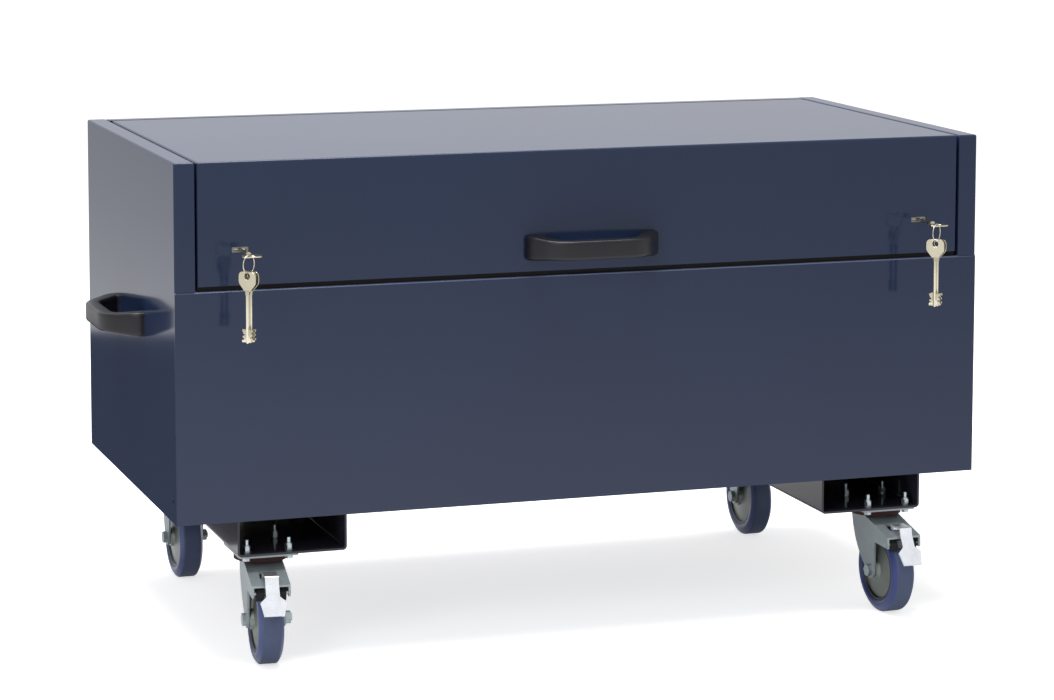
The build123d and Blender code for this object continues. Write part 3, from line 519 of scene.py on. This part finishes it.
class BoxSizes(PropertyGroup):
    """Sizes of the pieces that Blender adds."""

    grip_wide: FloatProperty(
        name="Grip depth", description="Depth of a handle's bar", unit="LENGTH",
        default=21 * MM, min=0.01,
    )
    grip_high: FloatProperty(
        name="Grip height", description="Height of a handle's bar", unit="LENGTH",
        default=27 * MM, min=0.01,
    )
    bow_width: FloatProperty(
        name="Bow width", description="Width of a key's bow", unit="LENGTH",
        default=28 * MM, min=0.005,
    )
    ring_radius: FloatProperty(
        name="Ring radius", description="Middle of a key ring's wire", unit="LENGTH",
        default=12.5 * MM, min=0.005,
    )
    ring_wire: FloatProperty(
        name="Ring wire", description="Radius of a key ring's wire", unit="LENGTH",
        default=0.7 * MM, min=0.0002,
    )
    bunch_pitch: FloatProperty(
        name="Bunch pitch", description="From one spare key to the other", unit="LENGTH",
        default=7.2 * MM, min=0.002,
    )
    segments: IntProperty(
        name="Segments", description="Steps round a wheel", default=128, min=16,
    )


class DressPanels(Operator):
    """Coat the panels, lid, ribs and skids, and lay the seal"""

    bl_idname = "security_box.panels"
    bl_label = "Panels and lid"

    def execute(self, context):
        colours = context.scene.box_colours
        coat(
            powder_coat(colours.body), "end_panel_left", "end_panel_right", "rear_panel",
            "floor_pan", "lid_shell", "lid_ribs",
        )
        fold = span("front_panel")[1][2]
        # The front panel's coat carries the painted highlight along its top fold
        coat(powder_coat(colours.body, "coat_painted_fold_highlight", fold=fold), "front_panel")
        coat(powder_coat(colours.skid, "skid_coat", gloss=0.55), "skid_left", "skid_right")
        # Black foam seal, its colour darkened further as painted shade for the gap under the lid's
        # flap
        coat(soft_rubber("seal_foam", (0.004, 0.004, 0.004)), "lid_seal")
        return {"FINISHED"}


def bow_handle(node, outward, along):
    """Bow handle: a rounded bar carried from foot to foot, wider and taller at its feet.

    rise is 0 at the wall and 1 at the bar, and 3 rise^2 - 2 rise^3 eases between their sizes.
    """
    low, high, middle = span(node)
    outward, along = np.array(outward, float), np.array(along, float)
    square = np.cross(along, outward)
    reach = float(np.abs((high - low) @ outward))
    half = float(np.abs((high - low) @ along)) / 2
    foot_high = float(np.abs((high - low) @ square))
    sizes = bpy.context.scene.box_sizes
    wide, tall = sizes.grip_wide, sizes.grip_high
    foot_wide, foot_rise, foot_round, bar_round = 25 * MM, 7 * MM, 9 * MM, 22 * MM
    wall = middle - outward * reach / 2
    foot, bar, out = half - foot_wide / 2, 0.60 * half, reach - wide / 2
    corners = np.array([
        (-foot, 0), (-foot, foot_rise), (-bar, out), (bar, out), (foot, foot_rise), (foot, 0),
    ])
    rounding = np.array([0, foot_round, bar_round, bar_round, foot_round, 0])
    flat = soften(corners, rounding, 9, closed=False)
    run = np.linspace(0, 1, len(flat) * 4)
    knots = np.linspace(0, 1, len(flat))
    flat = np.stack([np.interp(run, knots, flat[:, k]) for k in (0, 1)], -1)
    path = wall + flat[:, :1] * along + flat[:, 1:] * outward
    rise = np.clip(flat[:, 1] / out, 0, 1)
    ease = rise * rise * (3 - 2 * rise)
    square_section = np.array([(-0.5, -0.5), (0.5, -0.5), (0.5, 0.5), (-0.5, 0.5)])
    section = soften(square_section, 0.2, 8)
    return carried(
        path, section, foot_wide + (wide - foot_wide) * ease,
        foot_high + (tall - foot_high) * ease, square,
    )


class FitHandles(Operator):
    """Mould the three bow handles and fix them with their bolts"""

    bl_idname = "security_box.handles"
    bl_label = "Handles"

    def execute(self, context):
        plastic = moulded_plastic(context.scene.box_colours.plastic)
        for node, outward, along, body in (
            ("lid_handle", (0, -1, 0), (1, 0, 0), "lid"),
            ("side_handle_left", (-1, 0, 0), (0, -1, 0), "box"),
            ("side_handle_right", (1, 0, 0), (0, 1, 0), "box"),
        ):
            shape = bow_handle(node, outward, along)
            piece(f"bow_{node}", [shape], plastic, body, (node,), 60.0)
        zinc = plated_steel("fastener_zinc", (0.36, 0.41, 0.43), roughness=0.34)
        coat(
            zinc, "lid_handle_bolts", "side_handle_bolts", "hinge_pins", "caster_bolts",
            "king_bolts", "fork_pins_left", "fork_pins_right",
        )
        coat(plated_steel("bronze", (0.5, 0.36, 0.18), roughness=0.3), "hinge_bushes")
        return {"FINISHED"}


def key_shapes(hole, right, up):
    """Double-bitted key hanging from the hole in its bow: bow, ribbed neck, shaft and bits."""
    right, up = np.array(right, float), np.array(up, float)
    half = bpy.context.scene.box_sizes.bow_width / 2
    top, shoulder, neck, tip = 6.2 * MM, -10 * MM, -22 * MM, -91.5 * MM
    top_half, corner, neck_half = 0.72 * half, 4 * MM, 3.4 * MM
    hole_radius, bow_thick, bow_bevel = 4.8 * MM, 1.6 * MM, 0.3 * MM
    bow = np.array([
        (-top_half, top), (top_half, top), (half, top - corner), (half, shoulder),
        (neck_half, neck), (-neck_half, neck), (-half, shoulder), (-half, top - corner),
    ])
    bow = finer(soften(bow, 3.5 * MM, 6), 6)
    shapes = [pierced(bow, np.zeros(2), hole_radius, hole, right, up, bow_thick, bow_bevel)]
    # Three ribs on the neck: their radii, and how far below its top
    rib = np.array([2.6, 3.5, 3.5, 2.6, 2.6, 3.3, 3.3, 2.6, 2.6, 3.1, 3.1, 2.3]) * MM
    drop = np.array([0, 0.3, 1.3, 1.6, 2.0, 2.3, 3.3, 3.6, 4.0, 4.3, 5.3, 5.6]) * MM
    fall = neck + 2 * MM - drop
    core, thick = 0.2 * MM, 2.25 * MM
    shaft = np.array([(fall[-1], thick), (tip + 1 * MM, thick), (tip, 1.5 * MM), (tip, core)])
    profile = np.vstack([[(fall[0], core)], np.stack([fall, rib], -1), shaft])
    shapes.append(turned(profile, hole, up, 24))
    # Two bits with steps cut into their edges, in mm
    bit, low, high = 8.5 * MM, tip + 1.5 * MM, tip + 19 * MM
    bit_thick, bit_bevel = 2.4 * MM, 0.2 * MM
    for hand, cuts in ((-1, (0.0, 3.2, 1.2, 4.0, 2.0, 0.6)), (1, (2.4, 0.4, 3.6, 1.0, 2.8, 0.0))):
        steps = np.linspace(low, high, len(cuts) + 1)
        depth = bit - np.array(cuts) * MM
        heights = np.stack([steps[:-1], steps[1:]], -1).ravel()
        outer = np.stack([np.repeat(depth, 2), heights], -1)
        comb = np.vstack([[(0.5 * MM, low)], outer, [(0.5 * MM, high)]]) * (hand, 1)
        shapes.append(plate(comb, hole, right, up, bit_thick, bit_bevel))
    return shapes


def bunch_shapes(name):
    """Wire ring through the turning key's bow, with two keys at its foot.

    The ring lies in the upright plane square to the joint's axis. Its centre is a radius
    from the joint, RING_LEAN away from straight below it.
    """
    joint = JOINTS[f"spare_swing_{name}"]
    square = np.array(joint["axis"])
    upright = np.array((0.0, 0.0, 1.0))
    leaning = np.cross(square, upright)
    sizes = bpy.context.scene.box_sizes
    radius, wire, lean = sizes.ring_radius, sizes.ring_wire, math.radians(RING_LEAN)
    down = math.sin(lean) * leaning - math.cos(lean) * upright
    centre = np.array(joint["pos_m"]) + radius * down
    u = np.linspace(0, 2 * np.pi, 16, endpoint=False)
    circle = np.stack([wire * np.cos(u), radius + wire * np.sin(u)], -1)
    shapes = [turned(circle, centre, square, 96)]
    half_pitch = sizes.bunch_pitch / 2
    low = centre - (math.sqrt(radius**2 - half_pitch**2) + KEY_HANG) * upright
    for hand in (-1, 1):
        shapes += key_shapes(low + hand * half_pitch * leaning, square, upright)
    return shapes


class HangKeys(Operator):
    """Hang the keys and rings, and finish the locks behind the flap"""

    bl_idname = "security_box.keys"
    bl_label = "Locks and keys"

    def execute(self, context):
        key_colour = context.scene.box_colours.key
        nickel = plated_steel("key_nickel", key_colour, roughness=0.26, spread=0.14)
        steel = plated_steel(
            "lock_steel", (0.2, 0.2, 0.19), roughness=0.4, spread=0.2, spangle=0.6
        )
        coat(nickel, "key_left", "key_right", "spare_keys_left", "spare_keys_right")
        coat(steel, "lock_case_left", "lock_case_right", "lock_bolt_left", "lock_bolt_right")
        for name in SIDES:
            key, spare = f"key_{name}", f"spare_keys_{name}"
            hole = np.array(JOINTS[f"spare_swing_{name}"]["pos_m"])
            shapes = key_shapes(hole, (1, 0, 0), (0, -1, 0))
            piece(f"turned_key_{name}", shapes, nickel, key, (key,))
            piece(f"bunch_{name}", bunch_shapes(name), nickel, spare, (spare,))
        return {"FINISHED"}


def wheel_shapes():
    """Profiles of tyre and rim as (along, radius) pairs: listed in mm, given back in metres."""
    tyre = np.array([
        (-16, 46), (-18, 49), (-18, 54), (-12.5, 62.5), (12.5, 62.5), (18, 54), (18, 49), (16, 46),
    ]) * MM
    tyre = soften(tyre, np.array([0.5, 1, 2.2, 2.4, 2.4, 2.2, 1, 0.5]) * MM, 6)
    face = np.array([
        (16, 45.9), (16, 42.4), (14, 41.6), (12.6, 40.4), (13.4, 38.8), (15.6, 27.0),
        (16.9, 18.0), (17.6, 14.8), (21.6, 13.9), (22, 13.4), (22, 11),
    ])
    rim = np.vstack([face, (face * (-1, 1))[::-1]]) * MM
    return tyre, soften(rim, 0.8 * MM, 4)


class RollCasters(Operator):
    """Dress the forks, brakes, tyres and rims of the four casters"""

    bl_idname = "security_box.casters"
    bl_label = "Casters"

    def execute(self, context):
        colours = context.scene.box_colours
        zinc = plated_steel(
            "caster_zinc", colours.zinc, roughness=0.55, spread=0.2, spangle=0.35, metallic=0.6
        )
        bright = plated_steel(
            "pedal_zinc", (0.80, 0.83, 0.88), roughness=0.26, spread=0.14, metallic=0.9
        )
        bearing = plated_steel("bearing_steel", (0.6, 0.6, 0.6), roughness=0.25)
        rubber = polyurethane(colours.tyre, colours.tread)
        shoe = soft_rubber("shoe_rubber", (0.012, 0.012, 0.013))
        lacquer = cast_rim(colours.rim)
        tyre, rim = wheel_shapes()
        steps = context.scene.box_sizes.segments
        for end in ("front", "rear"):
            for name in SIDES:
                joint = JOINTS[f"wheel_spin_{end}_{name}"]
                wheel = f"{end}_{name}"
                body = f"wheel_{wheel}"
                ring = turned(tyre, joint["pos_m"], joint["axis"], steps)
                disc = turned(rim, joint["pos_m"], joint["axis"], steps)
                piece(f"tread_{wheel}", [ring], rubber, body, (f"tyre_{wheel}",))
                piece(f"disc_{wheel}", [disc], lacquer, body, (f"rim_{wheel}",))
                coat(bearing, f"bearings_{wheel}")
        coat(zinc, "rear_axle_bolts")
        for name in SIDES:
            coat(zinc, f"fork_{name}", f"bracket_rear_{name}", f"swivel_plate_{name}")
            coat(bright, f"pedal_{name}")
            coat(shoe, f"brake_shoes_{name}")
        coat(soft_rubber("dust_seal_rubber", (0.05, 0.02, 0.02)), "dust_seals")
        coat(bearing, "ball_cages")
        return {"FINISHED"}


class MountStruts(Operator):
    """Finish the gas struts and their brackets"""

    bl_idname = "security_box.struts"
    bl_label = "Gas struts"

    def execute(self, context):
        tube = powder_coat((0.008, 0.008, 0.009), "strut_paint", gloss=0.5)
        chrome = plated_steel("chrome_rod", (0.8, 0.8, 0.82), roughness=0.08, spread=0.04)
        zinc = plated_steel("bracket_zinc", context.scene.box_colours.zinc, roughness=0.35)
        for name in SIDES:
            coat(tube, f"strut_cylinder_{name}")
            coat(chrome, f"strut_rod_{name}")
        coat(zinc, "strut_body_brackets", "strut_lid_brackets")
        return {"FINISHED"}


def lamp(name, place, aim, size, power):
    """Square soft box at a place, turned towards a point."""
    data = bpy.data.lights.new(name, "AREA")
    data.shape = "SQUARE"
    data.size = size
    data.energy = power
    made = bpy.data.objects.new(name, data)
    made.location = place
    made.rotation_euler = (Vector(aim) - Vector(place)).to_track_quat("-Z", "Y").to_euler()
    bpy.context.scene.collection.objects.link(made)


def camera():
    """Camera at the photograph's place, from its yaw, pitch and roll."""
    yaw, pitch, roll = (math.radians(a) for a in (CAMERA_YAW, CAMERA_PITCH, CAMERA_ROLL))
    ahead = Vector((
        math.sin(yaw) * math.cos(pitch), math.cos(yaw) * math.cos(pitch), -math.sin(pitch)
    ))
    level = Vector((math.cos(yaw), -math.sin(yaw), 0))
    upright = level.cross(ahead)
    right = level * math.cos(roll) + upright * math.sin(roll)
    up = right.cross(ahead)
    data = bpy.data.cameras.new("photo_camera")
    data.sensor_width = SENSOR
    data.lens = FOCAL_PIXELS / PHOTO_WIDTH * SENSOR
    data.shift_y = LENS_SHIFT_PIXELS / PHOTO_WIDTH
    data.clip_start, data.clip_end = 0.1, 100.0
    made = bpy.data.objects.new("photo_camera", data)
    turn = Matrix((right, up, -ahead)).transposed()
    made.matrix_world = Matrix.Translation(CAMERA_PLACE) @ turn.to_4x4()
    bpy.context.scene.collection.objects.link(made)
    bpy.context.scene.camera = made


def seen_directly(tree, in_mirrors=1.0):
    """1 for camera rays and in_mirrors for glossy and transmitted ones, 0 for the rest."""
    path = tree.nodes.new("ShaderNodeLightPath")
    total = path.outputs["Is Camera Ray"]
    for ray in ("Is Glossy Ray", "Is Transmission Ray"):
        share = tree.nodes.new("ShaderNodeMath")
        share.operation = "MULTIPLY_ADD"
        share.inputs[1].default_value = in_mirrors
        tree.links.new(path.outputs[ray], share.inputs[0])
        tree.links.new(total, share.inputs[2])
        total = share.outputs[0]
    return total


def sheet(name, corners, finish):
    """Flat object of the stage with four corners."""
    mesh = bpy.data.meshes.new(name)
    mesh.from_pydata(corners, [], [(0, 1, 2, 3)])
    mesh.materials.append(finish.material)
    made = bpy.data.objects.new(name, mesh)
    bpy.context.scene.collection.objects.link(made)
    return made


def floor_paint(colour):
    """Matt paint with a glow that brings the floor near to the background's white."""
    finish = Finish("floor_paint", Roughness=0.9, Specular_IOR_Level=0.1)
    finish.feed("Base Color", tuple(colour))
    finish.feed("Emission Color", (1.0, 1.0, 1.0))
    seen = Shade(finish, seen_directly(finish.tree, MIRRORED_GLOW / FLOOR_GLOW))
    finish.feed("Emission Strength", seen * FLOOR_GLOW)
    return finish


def studio_world():
    """White world, dimmer where it lights the box than where it is seen."""
    world = bpy.data.worlds.new("studio")
    world.use_nodes = True
    tree = world.node_tree
    back = tree.nodes["Background"]
    back.inputs["Color"].default_value = (1.0, 1.0, 1.0, 1.0)
    level = tree.nodes.new("ShaderNodeMapRange")
    tree.links.new(seen_directly(tree), level.inputs["Value"])
    level.inputs["To Min"].default_value = WORLD_LIGHT
    level.inputs["To Max"].default_value = WORLD_SEEN
    tree.links.new(level.outputs[0], back.inputs["Strength"])
    return world


class SetStage(Operator):
    """Lay the pale floor, set the soft light and place the camera"""

    bl_idname = "security_box.stage"
    bl_label = "Stage"

    def execute(self, context):
        scene = context.scene
        corners = [(a * FLOOR_REACH, b * FLOOR_REACH, 0) for a, b in SQUARE]
        floor = sheet("floor", corners, floor_paint(scene.box_colours.floor))

        # Painted dark reflection: a sheet seen only in glossy rays, darkening the lower part of
        # the box's left end
        corners = [(*corner, CARD_HEIGHT) for corner in REFLECTION_CARD_CORNERS]
        paint = Finish("dark_reflection_paint", Base_Color=(0.02, 0.02, 0.024), Roughness=0.9)
        dark_reflection_card = sheet("dark_reflection_card", corners, paint)
        for ray in ("camera", "diffuse", "shadow", "transmission", "volume_scatter"):
            setattr(dark_reflection_card, f"visible_{ray}", False)

        scene.world = studio_world()
        lamp("top_light", place=(-0.4, 0.1, 3.4), aim=(-0.2, 0, 0), size=2.4, power=170)
        lamp("key_light", place=(-2.4, -2.6, 2.2), aim=(-0.2, 0, 0.45), size=1.2, power=22)
        camera()
        scene.view_settings.view_transform = "Standard"
        return {"FINISHED"}


class SecurityBoxPanel(Panel):
    """Lists the box's steps and settings in the sidebar"""

    bl_label = "Security Box"
    bl_idname = "VIEW3D_PT_security_box"
    bl_space_type = "VIEW_3D"
    bl_region_type = "UI"
    bl_category = "Security Box"

    def draw(self, context):
        for group in (context.scene.box_colours, context.scene.box_sizes):
            for name in group.bl_rna.properties.keys():
                if name not in ("rna_type", "name"):
                    self.layout.prop(group, name)
        for operator in OPERATORS:
            self.layout.operator(operator.bl_idname)


OPERATORS = (DressPanels, FitHandles, HangKeys, RollCasters, MountStruts, SetStage)
CLASSES = (BoxColours, BoxSizes, *OPERATORS, SecurityBoxPanel)


def register():
    for each in CLASSES:
        bpy.utils.register_class(each)
    bpy.types.Scene.box_colours = PointerProperty(type=BoxColours)
    bpy.types.Scene.box_sizes = PointerProperty(type=BoxSizes)


def unregister():
    del bpy.types.Scene.box_sizes
    del bpy.types.Scene.box_colours
    for each in reversed(CLASSES):
        bpy.utils.unregister_class(each)


def main():
    """Registers the add-on and runs its steps in order."""
    register()
    for step in ("panels", "handles", "keys", "casters", "struts", "stage"):
        getattr(bpy.ops.security_box, step)()


if __name__ == "__main__":
    main()
